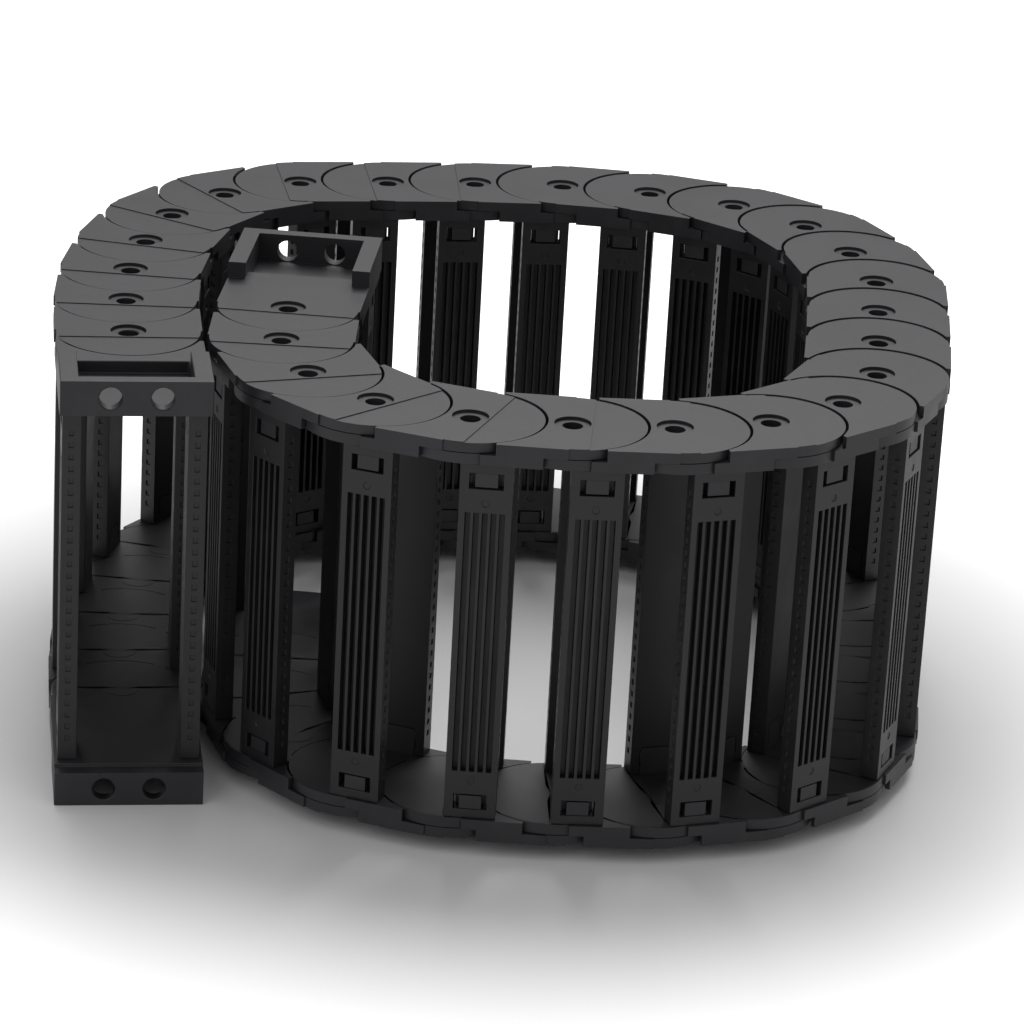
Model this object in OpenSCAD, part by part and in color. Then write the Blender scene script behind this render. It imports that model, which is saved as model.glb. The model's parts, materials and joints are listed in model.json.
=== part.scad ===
// Bridge-type cable drag chain, curled up and standing on its side.
// Each link is two moulded side plates that lap over their neighbours and turn on
// hollow pin bosses, with two clip-on crossbars between them. The chain starts at
// the fixed end bracket and curls clockwise, seen from above, to the moving one.
// The origin is the centre of the fixed bracket's screw holes, +Y runs into the
// chain, and z = 0 is half-way between the upper and the lower side plates.

/* [Chain] */
// Distance from hinge to hinge
pitch = 33.3; // [33.3:0.1:35]
// Height of a side plate across the chain
plate_h = 50; // [46:0.5:50.5]
// Clear width between the upper and the lower side plates
inner_w = 125; // [60:1:200]
// Clear height between the crossbars
inner_h = 35; // [31:0.5:37]
// Bend radius that the stops allow, measured at the hinges
bend_radius = 75; // [75:1:120]

/* [Side plates] */
// Thickness of a side plate
wall = 7.5; // [6:0.1:10]
// Running gap between an outer lap and the tongue under it
lap_gap = 0.3; // [0.2:0.05:0.6]
// Step from the plate's edge in to the round nose of the outer lap
nose_inset = 0.6; // [0.4:0.1:2]
// Gap between a nose and the hollow that it turns in
nose_gap = 1; // [0.7:0.1:1.5]
// Step from the plate's edge in to the round tongue
tongue_inset = 0.6; // [0.4:0.1:2]
// Gap round the tongue in the seat of the next plate
seat_gap = 0.3; // [0.2:0.05:0.6]
// How far the horns of the outer layer stop short of the next hinge
horn_back = 10; // [8:0.5:12]
// How far the tongue's straight edges stop short of its hinge
shoulder_back = 5; // [4.5:0.5:7]
// How far past its own hinge the inner layer starts
seat_start = 8; // [7:0.5:10]
// Depth of the shallow step across the nose
nose_step = 0.3; // [0.1:0.1:0.6]
// Distance of that step behind the hinge
nose_step_back = 6.6; // [6.5:0.1:9]

/* [Hinges] */
// Outside diameter of the hollow pin boss
pin_d = 12; // [10:0.5:12.5]
// Diameter of the hole through the boss
pin_hole_d = 6.8; // [4:0.1:8]
// Radial running clearance of the pin in its bore
pin_gap = 0.1; // [0.05:0.01:0.1]
// How far the pin's end lies below the plate's face
pin_sink = 1; // [0.2:0.1:1.5]
// Width of each stop tooth
stop_w = 5; // [3:0.5:6]
// Radial height of each stop tooth
stop_h = 3.6; // [2:0.1:4.5]
// Angle of the two stop teeth from the plate's centre line
stop_angle = 35; // [32:1:42]
// Gap left at the teeth at both ends of the travel
stop_gap = 0.3; // [0.2:0.05:0.6]

/* [Crossbars] */
// Width of a crossbar along the chain
bar_w = 17.2; // [15:0.1:18]
// How far a crossbar's face lies below the plate's edge
bar_inset = 1.2; // [0.6:0.1:2]
// Place of the crossbar's centre line past the link's first hinge
bar_y = 25.8; // [25:0.1:27]
// Gap between a crossbar's end and the plate
bar_end_gap = 0.1; // [0.05:0.05:0.3]
// Number of lengthwise grooves in a crossbar's face
groove_count = 5; // [1:1:5]
// Width of one groove
groove_w = 1.8; // [0.8:0.1:2]
// Width of the rib between two grooves
groove_rib = 1; // [0.6:0.1:1.2]
// Depth of a groove
groove_d = 1.4; // [0.4:0.1:2.5]
// Distance from the bar's end to the grooves
groove_end = 16.7; // [15.5:0.1:24]
// Diameter of the round mark near each end of a crossbar
mark_d = 2.5; // [1.5:0.1:3]
// Depth of that mark
mark_depth = 0.3; // [0.1:0.1:0.6]
// Distance of the mark from the bar's end
mark_end = 13.4; // [12.4:0.1:13.6]

/* [Snap lugs] */
// Width of the window in a crossbar, along the chain
window_w = 11.2; // [9:0.1:13]
// Height of the window, along the bar
window_h = 5.4; // [4:0.1:6]
// Distance from the bar's end to its window
window_end = 3.1; // [2:0.1:4]
// Width of the lug in the window
lug_w = 7.3; // [5:0.1:8.5]
// Gap between the lug and the window's far side
lug_gap = 0.6; // [0.3:0.1:1]
// Gap between the lug and the window's near side
lug_seat_gap = 0.1; // [0.05:0.05:0.3]
// Distance from the lug's face to the crossbar's face
lug_sink = 0.4; // [0.1:0.1:1.5]
// Width of the tab that carries the lug
tab_w = 10; // [9:0.1:11]
// Thickness of the tab
tab_t = 2.2; // [1.5:0.1:3]
// How far the tab reaches past its lug
tab_reach = 1.6; // [1:0.1:2]
// Gap round the tab in its recess in the crossbar
tab_gap = 0.2; // [0.1:0.05:0.4]

/* [End brackets] */
// Distance from the bracket's hinge to the outside of its end wall
bracket_reach = 67; // [66:0.5:80]
// How far the rim stands above the side plates
rim_rise = 5.75; // [4.5:0.25:9]
// Width of the rim's two sides
rim_w = 6.2; // [5:0.1:7]
// Thickness of the end wall
end_wall = 5; // [4:0.1:7]
// Length of the fixed bracket's rim, from the outside of its end wall
fixed_rim_len = 30; // [26:0.5:34]
// Length of the moving bracket's rim, from the outside of its end wall
moving_rim_len = 40; // [34:0.5:42]
// Distance from the fixed bracket's hinge to the edge of its pocket
fixed_pocket_start = 31; // [28:0.5:35]
// Distance from the moving bracket's hinge to the edge of its pocket
moving_pocket_start = 34.4; // [28:0.2:36]
// Thickness of the pocket's floor
pocket_floor = 3.1; // [1.5:0.1:3.4]
// Step between the bottom of the end wall and the plate's inside
wall_step = 1.2; // [0.6:0.1:1.8]
// Diameter of the screw holes in the end wall
screw_d = 7.6; // [5:0.1:8.4]
// Distance between the two screw holes of one wall
screw_spacing = 17; // [14:0.5:20]
// Distance of the screw holes from the rim's top
screw_edge = 6; // [5:0.1:6.6]
// Distance from the bracket's hinge to its crossbars' centre line
bracket_bar_y = 50; // [44:0.5:54]

/* [Hidden] */
$fn = 96;
// Depth that a cut reaches past a face
over = 1;

// Bend of one hinge with its stop teeth home
max_bend = 2 * asin(pitch / (2 * bend_radius));
// How the chain lies: the bend of each hinge as a share of the full bend,
// from the fixed bracket round to the moving one
bend_share = [
    0.04, 0.16, 0.26, 0.30, 0.76, 0.90, 1.00, 0.06, 0.16,
    0.40, 0.50, 0.78, 0.96, 0.54, 0.60, 0.04, 0.04, 0.74,
    0.96, 0.92, 0.60, 0.22, 0.66, 1.00, 1.00, 0.76, 0.14
];
link_count = len(bend_share) - 1;
moving = link_count + 1;

half_h = plate_h / 2;
half_w = inner_w / 2;
face_z = half_w + wall;
// The plate's two layers: the tongue turns in the inner one, the nose in the outer
inner_z = half_w + (wall - lap_gap) / 2;
outer_z = inner_z + lap_gap;
nose_r = half_h - nose_inset;
tongue_r = half_h - tongue_inset;
pin_top = face_z - pin_sink;

// Inner end of the stop teeth, and the angle that half a tooth and its gap take there
tooth_r = tongue_r - stop_h;
tooth_half = (stop_w / 2 + stop_gap) / tooth_r * 180 / PI;

bar_face = half_h - bar_inset;
bar_t = bar_face - inner_h / 2;
bar_top = half_w - bar_end_gap;
window_top = bar_top - window_end;
window_bottom = window_top - window_h;
lug_top = window_top - lug_seat_gap;
lug_bottom = window_bottom + lug_gap;
tab_bottom = lug_bottom - tab_reach;

rim_z = face_z + rim_rise;
screw_z = rim_z - screw_edge;
pocket_end = bracket_reach - end_wall;

plate_colour = [0.29, 0.29, 0.31];
bar_colour = [0.15, 0.15, 0.17];

// Number of a link in two digits, for its nodes' names
function two_digits(n) = str(n < 10 ? "0" : "", n);
function plates_name(n) = str("link_", two_digits(n), "_side_plates");
function bars_name(n) = str("link_", two_digits(n), "_crossbars");

// Direction of a body: 0 is the fixed bracket, then the links, then the moving bracket
function heading(n) = n == 0 ? 0 : heading(n - 1) - bend_share[n - 1] * max_bend;
// Place of the hinge that carries body n
function hinge(n) = n == 1
    ? [0, bracket_reach]
    : hinge(n - 1) + pitch * [-sin(heading(n - 1)), cos(heading(n - 1))];

// Puts a piece modelled round its own hinge on body n of the chain
module on_body(n) {
    translate(hinge(max(n, 1)))
        rotate(heading(n))
            children();
}

// Draws a piece of the upper row and its mirror image in the lower row
module both_rows() {
    children();
    mirror([0, 0, 1])
        children();
}

// Draws a piece on one edge of the chain and turned round on the other
module both_edges() {
    for (turn = [0, 180])
        rotate([0, turn, 0])
            children();
}

// A slab of the 2D shape between two heights
module slab(z0, z1) {
    translate([0, 0, z0])
        linear_extrude(z1 - z0)
            children();
}

// A rectangle over the plate's whole height, from y0 to y1
module strip(y0, y1) {
    translate([-half_h, y0])
        square([plate_h, y1 - y0]);
}

// ---- What side plates and bracket halves share ----

// Round tongue at a hinge, slotted so that the next plate's stop teeth travel
// from straight to the full bend
module tongue() {
    difference() {
        slab(half_w, inner_z)
            circle(tongue_r);
        for (side = [-1, 1])
            rotate(90 + side * stop_angle - max_bend - tooth_half)
                rotate_extrude(angle = max_bend + 2 * tooth_half)
                    translate([tooth_r - stop_gap, half_w - over])
                        square([stop_h + stop_gap + over, inner_z - half_w + 2 * over]);
    }
}

// Hollow pin boss that stands on the tongue and fills the next nose's bore
module pin() {
    difference() {
        slab(half_w, pin_top)
            circle(d = pin_d);
        pin_hole();
    }
}

module pin_hole() {
    slab(half_w - over, face_z + over)
        circle(d = pin_hole_d);
}

// Space in the outer layer that the next nose turns in, open beyond the horns
module nose_hollow() {
    slab(inner_z, face_z + over) {
        circle(nose_r + nose_gap);
        strip(-horn_back, half_h);
    }
}

// Round nose of the outer layer, at the plate's own hinge
module nose() {
    slab(outer_z, face_z)
        circle(nose_r);
}

// What is cut at a plate's own hinge: the seat of the previous tongue, from which
// the two stop teeth are left standing, the pin's bore and the step on the nose
module nose_cuts() {
    difference() {
        slab(half_w - over, outer_z) {
            circle(tongue_r + seat_gap);
            strip(-half_h, seat_start);
        }
        for (side = [-1, 1])
            rotate(side * stop_angle)
                translate([-stop_w / 2, tooth_r, half_w])
                    cube([stop_w, stop_h + seat_gap + over, inner_z - half_w]);
    }
    slab(outer_z - over, face_z + over)
        circle(d = pin_d + 2 * pin_gap);
    slab(face_z - nose_step, face_z + over)
        strip(-half_h, -nose_step_back);
}

// Tabs on both edges of the plate's inside, each with the lug that a crossbar
// centred at y clips on
module snap_tabs(y) {
    for (side = [0, 1])
        mirror([side, 0, 0])
            translate([inner_h / 2, y, 0]) {
                translate([0, -tab_w / 2, tab_bottom])
                    cube([tab_t, tab_w, half_w - tab_bottom + over]);
                translate([0, -lug_w / 2, lug_bottom])
                    cube([bar_t - lug_sink, lug_w, lug_top - lug_bottom]);
            }
}

// Crossbar of the edge at x < 0, centred at y
module crossbar(y) {
    groove_step = groove_w + groove_rib;
    translate([-bar_face, y, 0])
        difference() {
            translate([0, -bar_w / 2, -bar_top])
                cube([bar_t, bar_w, 2 * bar_top]);
            for (n = [0:groove_count - 1])
                translate([-over, (n - (groove_count - 1) / 2) * groove_step - groove_w / 2,
                           groove_end - bar_top])
                    cube([groove_d + over, groove_w, 2 * (bar_top - groove_end)]);
            both_rows() {
                translate([-over, -window_w / 2, window_bottom])
                    cube([bar_t + 2 * over, window_w, window_h]);
                translate([bar_t - tab_t - tab_gap, -tab_w / 2 - tab_gap, tab_bottom - tab_gap])
                    cube([tab_t + tab_gap + over, tab_w + 2 * tab_gap,
                          bar_top - tab_bottom + tab_gap + over]);
                translate([-over, 0, bar_top - mark_end])
                    rotate([0, 90, 0])
                        cylinder(h = mark_depth + over, d = mark_d);
            }
        }
}

// ---- Links ----

// Upper side plate of a link: its own hinge at the origin, the next one a pitch away
module side_plate() {
    difference() {
        union() {
            nose();
            slab(half_w, face_z)
                strip(0, pitch - shoulder_back);
            translate([0, pitch, 0])
                tongue();
            snap_tabs(bar_y);
        }
        nose_cuts();
        translate([0, pitch, 0]) {
            nose_hollow();
            pin_hole();
        }
    }
    translate([0, pitch, 0])
        pin();
}

module link_side_plates() {
    color(plate_colour)
        both_rows()
            side_plate();
}

module link_crossbars() {
    color(bar_colour)
        both_edges()
            crossbar(bar_y);
}

// ---- End brackets, drawn from their hinge at the origin to the end wall at +Y ----

// Space between the two sides of the rim, from y0 to the end wall
module pocket(y0) {
    translate([rim_w - half_h, y0])
        square([plate_h - 2 * rim_w, pocket_end - y0]);
}

// Screw holes of the end wall
module screw_holes() {
    for (side = [-1, 1])
        translate([side * screw_spacing / 2, pocket_end - over, screw_z])
            rotate([-90, 0, 0])
                cylinder(h = end_wall + 2 * over, d = screw_d);
}

// Plate of a bracket from y0 on, with its rim, its pocket and the end wall
module bracket_body(y0, rim_len, pocket_start) {
    difference() {
        union() {
            slab(half_w, face_z)
                strip(y0, bracket_reach);
            slab(half_w, rim_z)
                strip(bracket_reach - rim_len, bracket_reach);
        }
        slab(face_z, rim_z + over)
            pocket(0);
        slab(half_w + pocket_floor, rim_z + over)
            pocket(pocket_start);
        slab(half_w - over, half_w + wall_step)
            strip(pocket_end, bracket_reach + over);
        screw_holes();
    }
    snap_tabs(bracket_bar_y);
}

// Upper half of the fixed bracket, which carries the tongue and pin of the first hinge
module fixed_bracket_half() {
    difference() {
        union() {
            tongue();
            mirror([0, 1, 0])
                bracket_body(shoulder_back, fixed_rim_len, fixed_pocket_start);
        }
        nose_hollow();
        pin_hole();
    }
    pin();
}

// Upper half of the moving bracket, whose nose turns on the last link's pins
module moving_bracket_half() {
    difference() {
        union() {
            nose();
            bracket_body(0, moving_rim_len, moving_pocket_start);
        }
        nose_cuts();
    }
}

module fixed_bracket_upper() {
    color(plate_colour)
        fixed_bracket_half();
}

module fixed_bracket_lower() {
    color(plate_colour)
        mirror([0, 0, 1])
            fixed_bracket_half();
}

module fixed_bracket_outer_bar() {
    color(bar_colour)
        crossbar(-bracket_bar_y);
}

module fixed_bracket_inner_bar() {
    color(bar_colour)
        rotate([0, 180, 0])
            crossbar(-bracket_bar_y);
}

module moving_bracket_upper() {
    color(plate_colour)
        moving_bracket_half();
}

module moving_bracket_lower() {
    color(plate_colour)
        mirror([0, 0, 1])
            moving_bracket_half();
}

module moving_bracket_outer_bar() {
    color(bar_colour)
        crossbar(bracket_bar_y);
}

module moving_bracket_inner_bar() {
    color(bar_colour)
        rotate([0, 180, 0])
            crossbar(bracket_bar_y);
}

// ---- The chain ----

on_body(0) fixed_bracket_upper();
on_body(0) fixed_bracket_lower();
on_body(0) fixed_bracket_outer_bar();
on_body(0) fixed_bracket_inner_bar();
for (n = [1:link_count]) {
    on_body(n) link_side_plates();
    on_body(n) link_crossbars();
}
on_body(moving) moving_bracket_upper();
on_body(moving) moving_bracket_lower();
on_body(moving) moving_bracket_outer_bar();
on_body(moving) moving_bracket_inner_bar();
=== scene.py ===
"""Looks of a bridge-type cable chain: 26 black plastic links curled up on their side between
two screw-on end brackets, on a plain pale floor."""

import json
import math

import bmesh
import bpy
import numpy as np
from mathutils import Matrix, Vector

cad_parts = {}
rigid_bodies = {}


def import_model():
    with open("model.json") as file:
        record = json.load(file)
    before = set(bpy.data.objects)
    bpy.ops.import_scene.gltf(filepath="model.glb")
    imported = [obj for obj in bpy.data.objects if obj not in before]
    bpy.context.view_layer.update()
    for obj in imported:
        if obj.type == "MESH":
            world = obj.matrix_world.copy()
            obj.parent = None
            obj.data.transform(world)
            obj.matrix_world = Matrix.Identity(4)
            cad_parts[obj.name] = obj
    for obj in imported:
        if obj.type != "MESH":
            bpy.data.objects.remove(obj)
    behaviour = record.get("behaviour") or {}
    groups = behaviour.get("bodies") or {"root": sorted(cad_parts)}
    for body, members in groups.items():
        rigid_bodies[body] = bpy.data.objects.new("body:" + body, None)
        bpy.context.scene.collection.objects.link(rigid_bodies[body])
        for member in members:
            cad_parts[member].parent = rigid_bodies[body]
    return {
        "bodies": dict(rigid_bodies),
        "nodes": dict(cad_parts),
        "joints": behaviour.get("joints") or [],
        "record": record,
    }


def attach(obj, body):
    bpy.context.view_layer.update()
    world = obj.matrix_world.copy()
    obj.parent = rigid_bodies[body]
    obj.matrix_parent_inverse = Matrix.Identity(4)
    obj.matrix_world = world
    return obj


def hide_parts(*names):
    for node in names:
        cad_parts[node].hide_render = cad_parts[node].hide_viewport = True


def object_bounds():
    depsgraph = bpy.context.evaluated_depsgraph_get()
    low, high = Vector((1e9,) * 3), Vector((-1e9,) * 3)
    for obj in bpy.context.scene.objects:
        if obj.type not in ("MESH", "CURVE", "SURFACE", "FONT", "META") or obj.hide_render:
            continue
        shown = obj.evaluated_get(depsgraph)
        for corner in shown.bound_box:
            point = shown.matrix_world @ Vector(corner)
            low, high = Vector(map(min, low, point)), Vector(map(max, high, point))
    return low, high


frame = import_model()
cad_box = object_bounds()
nodes = frame["nodes"]


# ---- Side plates ----
# Each link has an upper and a lower side plate of black glass-filled polyamide. They come
# out of the mould with softly rounded edges and a fine satin grain, and rub against each
# other, so their broad faces carry faint smears. Inside, a thin skin closes the tongue.

EDGE_ROUNDING = 0.00035
BEVEL_SEGMENTS = 2
MERGE_DISTANCE = 2e-6
FLAT_ANGLE = math.radians(0.6)
SHARP_ANGLE = math.radians(35)
INNER_FACE = 0.0625
SKIN_THICKNESS = 0.00012
SKIN_WIDE = 0.0240
SKIN_NARROW = 0.0060
SKIN_SHOULDER = 0.0015
WIDE_ARC_POINTS = 49
NARROW_ARC_POINTS = 25
PLATE_BLACK = (0.020, 0.020, 0.0235)
PLATE_ROUGHNESS = 0.46
PLATE_SMEAR = 0.8
PLASTIC_IOR = 1.5
GRAIN_SCALE = 2600.0
PEEL_SCALE = 420.0
SMEAR_SCALE = 38.0
GRAIN_BUMP = (0.3, 0.00005)
PEEL_BUMP = (0.12, 0.00012)


def wire(tree, source, target):
    """Wires an output (node, socket) to an input (node, socket)."""
    tree.links.new(source[0].outputs[source[1]], target[0].inputs[target[1]])


def moulded_plastic(name, black, roughness, smear):
    """Black moulded plastic on Object coordinates in metres: a grain about 0.3 mm across in
    the bump, and smears some centimetres long in colour and roughness."""
    material = bpy.data.materials.new(name)
    material.use_nodes = True
    tree = material.node_tree
    shader = tree.nodes["Principled BSDF"]
    place = tree.nodes.new("ShaderNodeTexCoord")

    def noise(scale, detail, rough, distortion=0.0):
        node = tree.nodes.new("ShaderNodeTexNoise")
        node.inputs["Scale"].default_value = scale
        node.inputs["Detail"].default_value = detail
        node.inputs["Roughness"].default_value = rough
        node.inputs["Distortion"].default_value = distortion
        wire(tree, (place, "Object"), (node, "Vector"))
        return node

    def spread(source, low, high, to_low, to_high):
        node = tree.nodes.new("ShaderNodeMapRange")
        node.inputs["From Min"].default_value = low
        node.inputs["From Max"].default_value = high
        node.inputs["To Min"].default_value = to_low
        node.inputs["To Max"].default_value = to_high
        wire(tree, (source, "Fac"), (node, "Value"))
        return node

    grain = noise(GRAIN_SCALE, 3.0, 0.6)
    orange_peel = noise(PEEL_SCALE, 2.0, 0.5)
    smears = noise(SMEAR_SCALE, 4.0, 0.62, 0.8)

    tint = tree.nodes.new("ShaderNodeMix")
    tint.data_type = "RGBA"
    tint.inputs["A"].default_value = (*black, 1.0)
    tint.inputs["B"].default_value = (*[c * 1.5 + 0.004 for c in black], 1.0)
    wire(tree, (spread(smears, 0.42, 0.72, 0.0, smear), "Result"), (tint, "Factor"))
    wire(tree, (tint, "Result"), (shader, "Base Color"))

    wire(tree, (spread(smears, 0.35, 0.7, roughness - 0.04, roughness + 0.07), "Result"),
         (shader, "Roughness"))
    shader.inputs["IOR"].default_value = PLASTIC_IOR

    def bump(source, strength_and_distance):
        node = tree.nodes.new("ShaderNodeBump")
        node.inputs["Strength"].default_value = strength_and_distance[0]
        node.inputs["Distance"].default_value = strength_and_distance[1]
        wire(tree, (source, "Fac"), (node, "Height"))
        return node

    coarse = bump(orange_peel, PEEL_BUMP)
    fine = bump(grain, GRAIN_BUMP)
    wire(tree, (coarse, "Normal"), (fine, "Normal"))
    wire(tree, (fine, "Normal"), (shader, "Normal"))
    return material


def cleaned(node_name):
    """The node's mesh as a bmesh, its loose triangles merged and flat areas made single faces."""
    work = bmesh.new()
    work.from_mesh(nodes[node_name].data)
    bmesh.ops.remove_doubles(work, verts=work.verts, dist=MERGE_DISTANCE)
    bmesh.ops.dissolve_limit(work, angle_limit=FLAT_ANGLE, verts=work.verts, edges=work.edges)
    return work


def rounded_piece(work, piece_name, body, material, node_name, rounding):
    """A piece made from a bmesh, which it uses up, in place of a node. A bevel rounds its sharp
    edges, and the large faces beside them keep their own normals and so stay flat."""
    mesh = bpy.data.meshes.new(piece_name)
    work.to_mesh(mesh)
    work.free()
    mesh.shade_smooth()
    mesh.set_sharp_from_angle(angle=SHARP_ANGLE)
    mesh.materials.clear()
    mesh.materials.append(material)
    piece = bpy.data.objects.new(piece_name, mesh)
    bpy.context.scene.collection.objects.link(piece)
    bevel = piece.modifiers.new("rounded_edges", "BEVEL")
    bevel.width = rounding
    bevel.segments = BEVEL_SEGMENTS
    bevel.limit_method = "ANGLE"
    bevel.angle_limit = SHARP_ANGLE
    bevel.use_clamp_overlap = True
    flat = piece.modifiers.new("flat_faces", "WEIGHTED_NORMAL")
    flat.weight = 100
    flat.keep_sharp = True
    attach(piece, body)
    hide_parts(node_name)
    return piece


hinge_places = [np.array(joint["pos_m"]) for joint in frame["joints"]]
link_names = sorted(name for name in frame["bodies"] if name.startswith("link_"))
end_mount = next(m for m in frame["record"]["mounts"] if m["name"].startswith("moving_end"))


def body_place(number):
    """Hinge and direction of a body: 0 is the fixed bracket, then come the links, and the
    moving bracket is the last. The fixed bracket and the first link share a hinge."""
    if number == 0:
        return hinge_places[0], np.array([0.0, 1.0, 0.0])
    if number > len(link_names):
        return hinge_places[-1], np.array(end_mount["axis"])
    along = hinge_places[number] - hinge_places[number - 1]
    return hinge_places[number - 1], along / np.linalg.norm(along)


def tongue_skins(piece_name, body, hinge, along):
    """Thin skins that close the inside of the upper and the lower tongue at a hinge. Each is a
    fan of triangles about the hinge out to a wide arc ahead of it and a narrow one behind."""
    low_wide = math.asin(SKIN_SHOULDER / SKIN_WIDE)
    low_narrow = math.asin(SKIN_SHOULDER / SKIN_NARROW)
    ahead = np.linspace(low_wide, math.pi - low_wide, WIDE_ARC_POINTS)
    behind = np.linspace(math.pi - low_narrow, 2 * math.pi + low_narrow, NARROW_ARC_POINTS)
    turn = np.concatenate([ahead, behind])
    radius = np.repeat([SKIN_WIDE, SKIN_NARROW], [len(ahead), len(behind)])
    across = np.array([along[1], -along[0], 0.0])
    outline = hinge + np.outer(radius * np.cos(turn), across) + np.outer(radius * np.sin(turn), along)
    count = len(outline)
    corners, faces = [], []
    for side in (-1, 1):
        inner = len(corners)
        outer = inner + count + 1
        for height in (INNER_FACE - SKIN_THICKNESS, INNER_FACE + SKIN_THICKNESS):
            corners += [(x, y, side * height) for x, y, _ in outline]
            corners.append((hinge[0], hinge[1], side * height))
        for i in range(count):
            j = (i + 1) % count
            faces.append((inner + i, inner + j, inner + count)[::-side])
            faces.append((outer + i, outer + j, outer + count)[::side])
            faces.append((inner + i, inner + j, outer + j, outer + i)[::side])
    mesh = bpy.data.meshes.new(piece_name)
    mesh.from_pydata(corners, [], faces)
    mesh.materials.append(plate_plastic)
    skins = bpy.data.objects.new(piece_name, mesh)
    bpy.context.scene.collection.objects.link(skins)
    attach(skins, body)


plate_plastic = moulded_plastic("plate_plastic", PLATE_BLACK, PLATE_ROUGHNESS, PLATE_SMEAR)
for number, link_name in enumerate(link_names, start=1):
    rounded_piece(cleaned(link_name + "_side_plates"), link_name + "_plates", link_name,
                  plate_plastic, link_name + "_side_plates", EDGE_ROUNDING)
    tongue_skins(link_name + "_tongue_skins", link_name, hinge_places[number], body_place(number)[1])


# ---- Crossbars ----
# Two crossbars per link clip on the side plates' lugs, one on each edge. They are thinner
# mouldings of the same black polyamide, smoother and a little glossier than the plates. Deep
# grooves run along the face, and each narrow side has a row of notches for dividers.

BAR_BLACK = (0.014, 0.014, 0.016)
BAR_ROUGHNESS = 0.42
BAR_SMEAR = 0.5
BAR_ROUNDING = 0.0002
BAR_FACE = 0.0238
BAR_HALF_WIDTH = 0.0086
BAR_PAST_HINGE = 0.0258
BRACKET_BAR_PAST_HINGE = 0.050
CAD_GROOVE_DEPTH = 0.0014
SAME_DEPTH = 1e-4
GROOVE_DEPTH = 0.0032
NOTCH_PITCH = 0.0042
NOTCHES_PER_SIDE = 27
NOTCH_SIZE = (0.0017, 0.0005, 0.0019)
NOTCH_BELOW_FACE = 0.0031

bar_plastic = moulded_plastic("bar_plastic", BAR_BLACK, BAR_ROUGHNESS, BAR_SMEAR)


def notch_comb():
    """Boxes in rows along both narrow sides of a crossbar that lies along Z with its face at
    x = 0 and its thickness towards +x: what the row of divider notches takes away."""
    work = bmesh.new()
    for side in (-1, 1):
        for i in range(NOTCHES_PER_SIDE):
            z = (i - (NOTCHES_PER_SIDE - 1) / 2) * NOTCH_PITCH
            place = Matrix.Translation((NOTCH_BELOW_FACE, side * BAR_HALF_WIDTH, z))
            size = Matrix.Diagonal((NOTCH_SIZE[0], 2 * NOTCH_SIZE[1], NOTCH_SIZE[2], 1.0))
            bmesh.ops.create_cube(work, size=1.0, matrix=place @ size)
    mesh = bpy.data.meshes.new("notch_comb")
    work.to_mesh(mesh)
    work.free()
    comb = bpy.data.objects.new("notch_comb", mesh)
    bpy.context.scene.collection.objects.link(comb)
    return comb


def crossbar_mesh():
    """One crossbar along Z, its face at x = 0: the fixed bracket's outer bar moved there, with
    its grooves deepened and the notches cut."""
    work = cleaned("fixed_bracket_outer_bar")
    middle_y = hinge_places[0][1] - BRACKET_BAR_PAST_HINGE
    bmesh.ops.translate(work, verts=work.verts, vec=(BAR_FACE, -middle_y, 0.0))
    for vertex in work.verts:
        if abs(vertex.co.x - CAD_GROOVE_DEPTH) < SAME_DEPTH:
            vertex.co.x = GROOVE_DEPTH
    mesh = bpy.data.meshes.new("plain_bar")
    work.to_mesh(mesh)
    work.free()
    bar = bpy.data.objects.new("plain_bar", mesh)
    bpy.context.scene.collection.objects.link(bar)
    comb = notch_comb()
    cut = bar.modifiers.new("notches", "BOOLEAN")
    cut.operation = "DIFFERENCE"
    cut.solver = "EXACT"
    cut.object = comb
    bpy.context.view_layer.update()
    graph = bpy.context.evaluated_depsgraph_get()
    notched = bpy.data.meshes.new_from_object(bar.evaluated_get(graph))
    for helper in (bar, comb):
        bpy.data.objects.remove(helper)
    return notched


def crossbar_piece(node_name, piece_name, body, hinge, along, past_hinge, edges):
    """The crossbars on the given edges (-1 outer, 1 inner) of one body, a distance past its
    hinge. The inner bar is the outer one turned round about the body's own direction."""
    work = bmesh.new()
    across = np.array([along[1], -along[0], 0.0])
    for edge in edges:
        corner = hinge + past_hinge * along + edge * BAR_FACE * across
        turn = np.column_stack([-edge * across, along, (0.0, 0.0, -edge)])
        placed = notched_bar.copy()
        placed.transform(Matrix.Translation(corner) @ Matrix(turn.tolist()).to_4x4())
        work.from_mesh(placed)
        bpy.data.meshes.remove(placed)
    rounded_piece(work, piece_name, body, bar_plastic, node_name, BAR_ROUNDING)


notched_bar = crossbar_mesh()
for number, link_name in enumerate(link_names, start=1):
    crossbar_piece(link_name + "_crossbars", link_name + "_bars", link_name,
                   *body_place(number), BAR_PAST_HINGE, (-1, 1))


# ---- End brackets ----
# A bracket is two plates like the links' own, with a raised rim round a pocket and two
# screw holes through the end wall. Two crossbars hold them apart.

BRACKET_ROUNDING = 0.0004

for number, bracket, past_hinge in ((0, "fixed_bracket", -BRACKET_BAR_PAST_HINGE),
                                    (len(link_names) + 1, "moving_bracket", BRACKET_BAR_PAST_HINGE)):
    for half in ("upper", "lower"):
        rounded_piece(cleaned(bracket + "_" + half), bracket + "_plate_" + half, bracket,
                      plate_plastic, bracket + "_" + half, BRACKET_ROUNDING)
    for edge, place in ((-1, "outer"), (1, "inner")):
        crossbar_piece(bracket + "_" + place + "_bar", bracket + "_crossbar_" + place, bracket,
                       *body_place(number), past_hinge, (edge,))

tongue_skins("fixed_bracket_tongue_skins", "fixed_bracket", *body_place(0))


# ---- Floor ----
# A plain white studio floor under the chain's lowest rims, with the chain's soft shadow on it.
# Away from the chain a painted glow, seen only by the camera and rising with the distance from the
# chain's middle, paints it full white over the chain's soft shadow.

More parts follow.
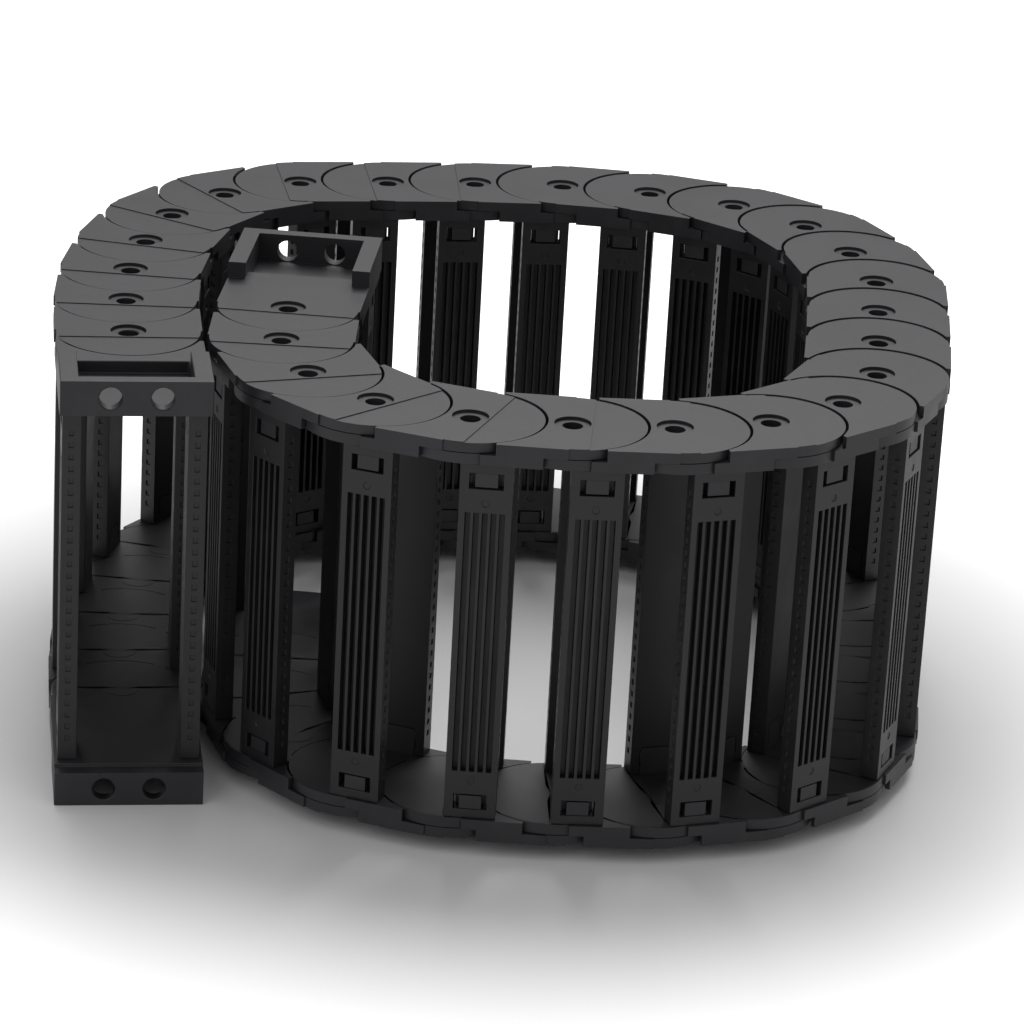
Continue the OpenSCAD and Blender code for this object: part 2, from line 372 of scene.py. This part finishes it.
PURE_WHITE = (1.0, 1.0, 1.0, 1.0)
FLOOR_HALF_SIZE = 6.0
# Painted glow on the floor: it starts at the first distance from the chain's middle and reaches its
# full emission at the second.
FLOOR_PAINTED_GLOW_FROM = 0.17
FLOOR_PAINTED_GLOW_TO = 0.33
FLOOR_PAINTED_GLOW_LEVEL = 0.6
FLOOR_PAINT = (0.95, 0.95, 0.95, 1.0)
FLOOR_ROUGHNESS = 0.9
FLOOR_SHEEN = 0.1

floor_z = cad_box[0][2]
floor_mesh = bpy.data.meshes.new("floor")
floor_mesh.from_pydata(
    [(side_x * FLOOR_HALF_SIZE, side_y * FLOOR_HALF_SIZE, floor_z)
     for side_x, side_y in ((-1, -1), (1, -1), (1, 1), (-1, 1))],
    [], [(0, 1, 2, 3)])
floor = bpy.data.objects.new("floor", floor_mesh)
bpy.context.scene.collection.objects.link(floor)

floor_paint = bpy.data.materials.new("floor_paint")
floor_paint.use_nodes = True
floor_shader = floor_paint.node_tree.nodes["Principled BSDF"]
floor_shader.inputs["Base Color"].default_value = FLOOR_PAINT
floor_shader.inputs["Roughness"].default_value = FLOOR_ROUGHNESS
floor_shader.inputs["Specular IOR Level"].default_value = FLOOR_SHEEN

floor_tree = floor_paint.node_tree
floor_place = floor_tree.nodes.new("ShaderNodeTexCoord")
floor_offset = floor_tree.nodes.new("ShaderNodeVectorMath")
floor_offset.operation = "DISTANCE"
floor_offset.inputs[1].default_value = ((cad_box[0][0] + cad_box[1][0]) / 2,
                                        (cad_box[0][1] + cad_box[1][1]) / 2, floor_z)
# Painted glow: camera rays see the floor give off more light the farther it lies from the chain,
# which paints over the chain's shadow there.
floor_painted_glow = floor_tree.nodes.new("ShaderNodeMapRange")
floor_painted_glow.interpolation_type = "SMOOTHSTEP"
floor_painted_glow.inputs["From Min"].default_value = FLOOR_PAINTED_GLOW_FROM
floor_painted_glow.inputs["From Max"].default_value = FLOOR_PAINTED_GLOW_TO
floor_painted_glow.inputs["To Max"].default_value = FLOOR_PAINTED_GLOW_LEVEL
floor_rays = floor_tree.nodes.new("ShaderNodeLightPath")
floor_painted_glow_seen = floor_tree.nodes.new("ShaderNodeMath")
floor_painted_glow_seen.operation = "MULTIPLY"
wire(floor_tree, (floor_place, "Object"), (floor_offset, 0))
wire(floor_tree, (floor_offset, "Value"), (floor_painted_glow, "Value"))
wire(floor_tree, (floor_painted_glow, "Result"), (floor_painted_glow_seen, 0))
wire(floor_tree, (floor_rays, "Is Camera Ray"), (floor_painted_glow_seen, 1))
wire(floor_tree, (floor_painted_glow_seen, "Value"), (floor_shader, "Emission Strength"))
floor_shader.inputs["Emission Color"].default_value = PURE_WHITE
floor_mesh.materials.append(floor_paint)


# ---- Light ----
# Soft studio light: one large panel above and behind the chain, a weaker one in front on
# the left, and a pale room. The camera sees the room as white.

ROOM_LIGHT = 0.4
ROOM_SEEN = 1.0
PANEL_ABOVE_SIZE = 1.4
PANEL_ABOVE_POWER = 22.0
PANEL_FRONT_SIZE = 1.0
PANEL_FRONT_POWER = 2.0

world = bpy.data.worlds.new("studio")
bpy.context.scene.world = world
world.use_nodes = True
room_tree = world.node_tree
room = room_tree.nodes["Background"]
room.inputs["Color"].default_value = PURE_WHITE
room_rays = room_tree.nodes.new("ShaderNodeLightPath")
room_level = room_tree.nodes.new("ShaderNodeMapRange")
room_level.inputs["To Min"].default_value = ROOM_LIGHT
room_level.inputs["To Max"].default_value = ROOM_SEEN
wire(room_tree, (room_rays, "Is Camera Ray"), (room_level, "Value"))
wire(room_tree, (room_level, "Result"), (room, "Strength"))


def soft_panel(name, size, power, place, aim):
    """A square area light of the given size and power at place, turned towards aim."""
    lamp = bpy.data.lights.new(name, "AREA")
    lamp.shape = "SQUARE"
    lamp.size = size
    lamp.energy = power
    panel = bpy.data.objects.new(name, lamp)
    bpy.context.scene.collection.objects.link(panel)
    away = np.array(place, float) - np.array(aim, float)
    away /= np.linalg.norm(away)
    side = np.cross((0.0, 0.0, 1.0), away)
    side /= np.linalg.norm(side)
    turn = np.column_stack([side, np.cross(away, side), away])
    panel.matrix_world = Matrix.Translation(place) @ Matrix(turn.tolist()).to_4x4()
    return panel


centre = (np.array(cad_box[0]) + np.array(cad_box[1])) / 2
above_and_behind = centre + np.array([0.3, 0.9, 1.5])
front_left = centre + np.array([-1.1, -1.2, 0.9])
soft_panel("panel_above", PANEL_ABOVE_SIZE, PANEL_ABOVE_POWER, tuple(above_and_behind), tuple(centre))
soft_panel("panel_front", PANEL_FRONT_SIZE, PANEL_FRONT_POWER, tuple(front_left), tuple(centre))


# ---- Camera ----
# It stands in front of the fixed bracket, a little to the chain's left, and looks down on
# the curl.

CAMERA_PLACE = (-0.06915, -1.33809, 0.55937)
CAMERA_AZIMUTH = math.radians(81.76)
CAMERA_TILT = math.radians(21.358)
CAMERA_ROLL = math.radians(3.152)
CAMERA_LENS = 154.06
CAMERA_REACH = 30.0

ahead = np.array([math.cos(CAMERA_AZIMUTH) * math.cos(CAMERA_TILT),
                  math.sin(CAMERA_AZIMUTH) * math.cos(CAMERA_TILT), -math.sin(CAMERA_TILT)])
level = np.cross(ahead, (0.0, 0.0, 1.0))
level /= np.linalg.norm(level)
upright = np.cross(level, ahead)
camera_right = level * math.cos(CAMERA_ROLL) + upright * math.sin(CAMERA_ROLL)
camera_up = upright * math.cos(CAMERA_ROLL) - level * math.sin(CAMERA_ROLL)
lens = bpy.data.cameras.new("camera")
lens.lens = CAMERA_LENS
lens.clip_end = CAMERA_REACH
camera = bpy.data.objects.new("camera", lens)
bpy.context.scene.collection.objects.link(camera)
camera.matrix_world = Matrix.Translation(CAMERA_PLACE) @ Matrix(
    np.column_stack([camera_right, camera_up, -ahead]).tolist()).to_4x4()
bpy.context.scene.camera = camera

bpy.context.scene.view_settings.view_transform = "Standard"
